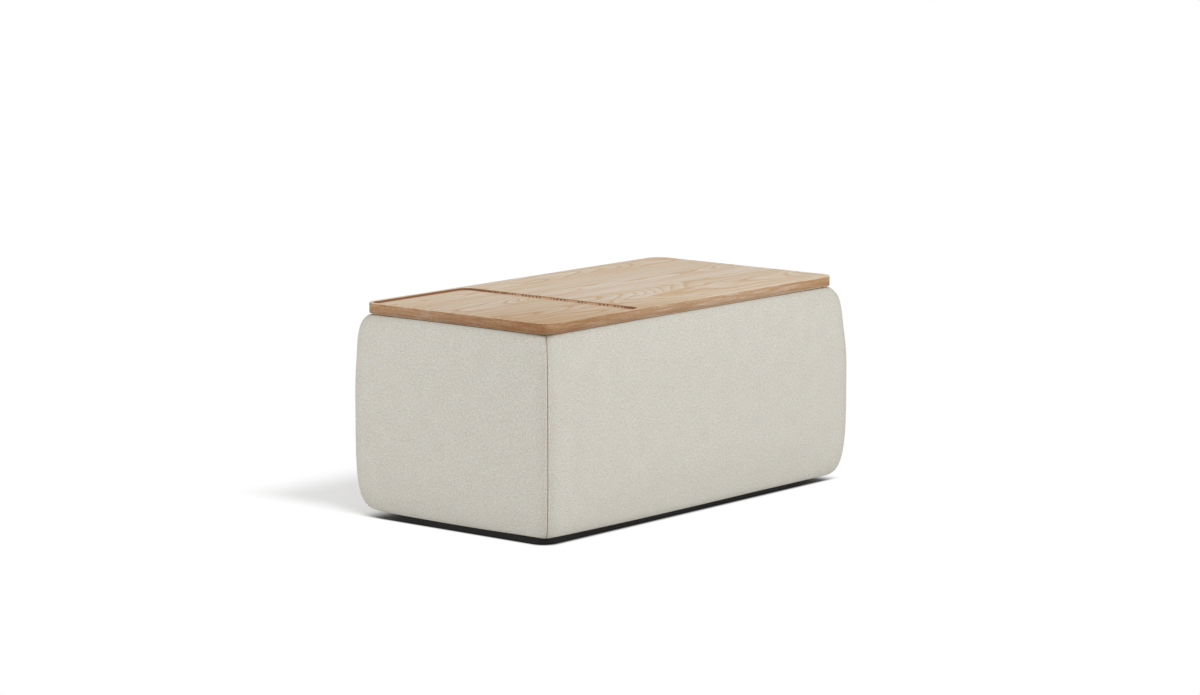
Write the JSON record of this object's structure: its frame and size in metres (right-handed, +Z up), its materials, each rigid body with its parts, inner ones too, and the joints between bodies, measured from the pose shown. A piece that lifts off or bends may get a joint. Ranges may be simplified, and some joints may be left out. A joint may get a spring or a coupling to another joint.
{
  "type": "storage ottoman",
  "caption": "Low oblong ottoman with soft cloth sides on a recessed dark plinth, whose oak lid has a shallow tray at one end and hinges up to open a storage box.",
  "frame": {"origin": "on the floor, under the middle of the box", "axes": "+Z up, +X along the long side with the tray at the -X end, -Y the front, hinges along the +Y side"},
  "size_m": [0.928, 0.504, 0.42],
  "materials": {
    "oak": "matte",
    "plywood": "matte",
    "plinth_paint": "matte",
    "foam": "matte",
    "cover_cloth": "matte",
    "lining": "matte",
    "felt": "matte",
    "dust_cloth": "matte",
    "glide_plastic": "satin",
    "hinge_steel": "satin",
    "screw_steel": "satin"
  },
  "bodies": {
    "box": {"base_panel": "plywood", "floor_mat": "felt", "dust_cloth": "dust_cloth", "floor_glides": "glide_plastic", "hinge_box_screws": "screw_steel", "plinth_screws": "screw_steel", "wall_back_screws": "screw_steel", "wall_front_screws": "screw_steel", "wall_foot_screws": "screw_steel", "plinth_front": "plinth_paint", "wall_front": "plywood", "foam_front": "foam", "cover_front": "cover_cloth", "liner_front": "lining", "plinth_back": "plinth_paint", "wall_back": "plywood", "foam_back": "foam", "cover_back": "cover_cloth", "liner_back": "lining", "plinth_left": "plinth_paint", "wall_left": "plywood", "foam_left": "foam", "cover_left": "cover_cloth", "liner_left": "lining", "plinth_right": "plinth_paint", "wall_right": "plywood", "foam_right": "foam", "cover_right": "cover_cloth", "liner_right": "lining", "hinge_left_box_leaf": "hinge_steel", "hinge_left_pin": "hinge_steel", "hinge_middle_box_leaf": "hinge_steel", "hinge_middle_pin": "hinge_steel", "hinge_right_box_leaf": "hinge_steel", "hinge_right_pin": "hinge_steel"},
    "lid": {"lid_board": "oak", "lid_batten_left": "oak", "lid_batten_right": "oak", "lid_bumpers": "felt", "batten_screws": "screw_steel", "hinge_lid_screws": "screw_steel", "hinge_left_lid_leaf": "hinge_steel", "hinge_middle_lid_leaf": "hinge_steel", "hinge_right_lid_leaf": "hinge_steel"}
  },
  "joints": [
    {"name": "lid_hinge", "type": "hinge", "parent": "box", "child": "lid", "pos_m": [0, 0.2338, 0.4027], "axis": [-1, 0, 0], "range_deg": [0, 100]}
  ]
}
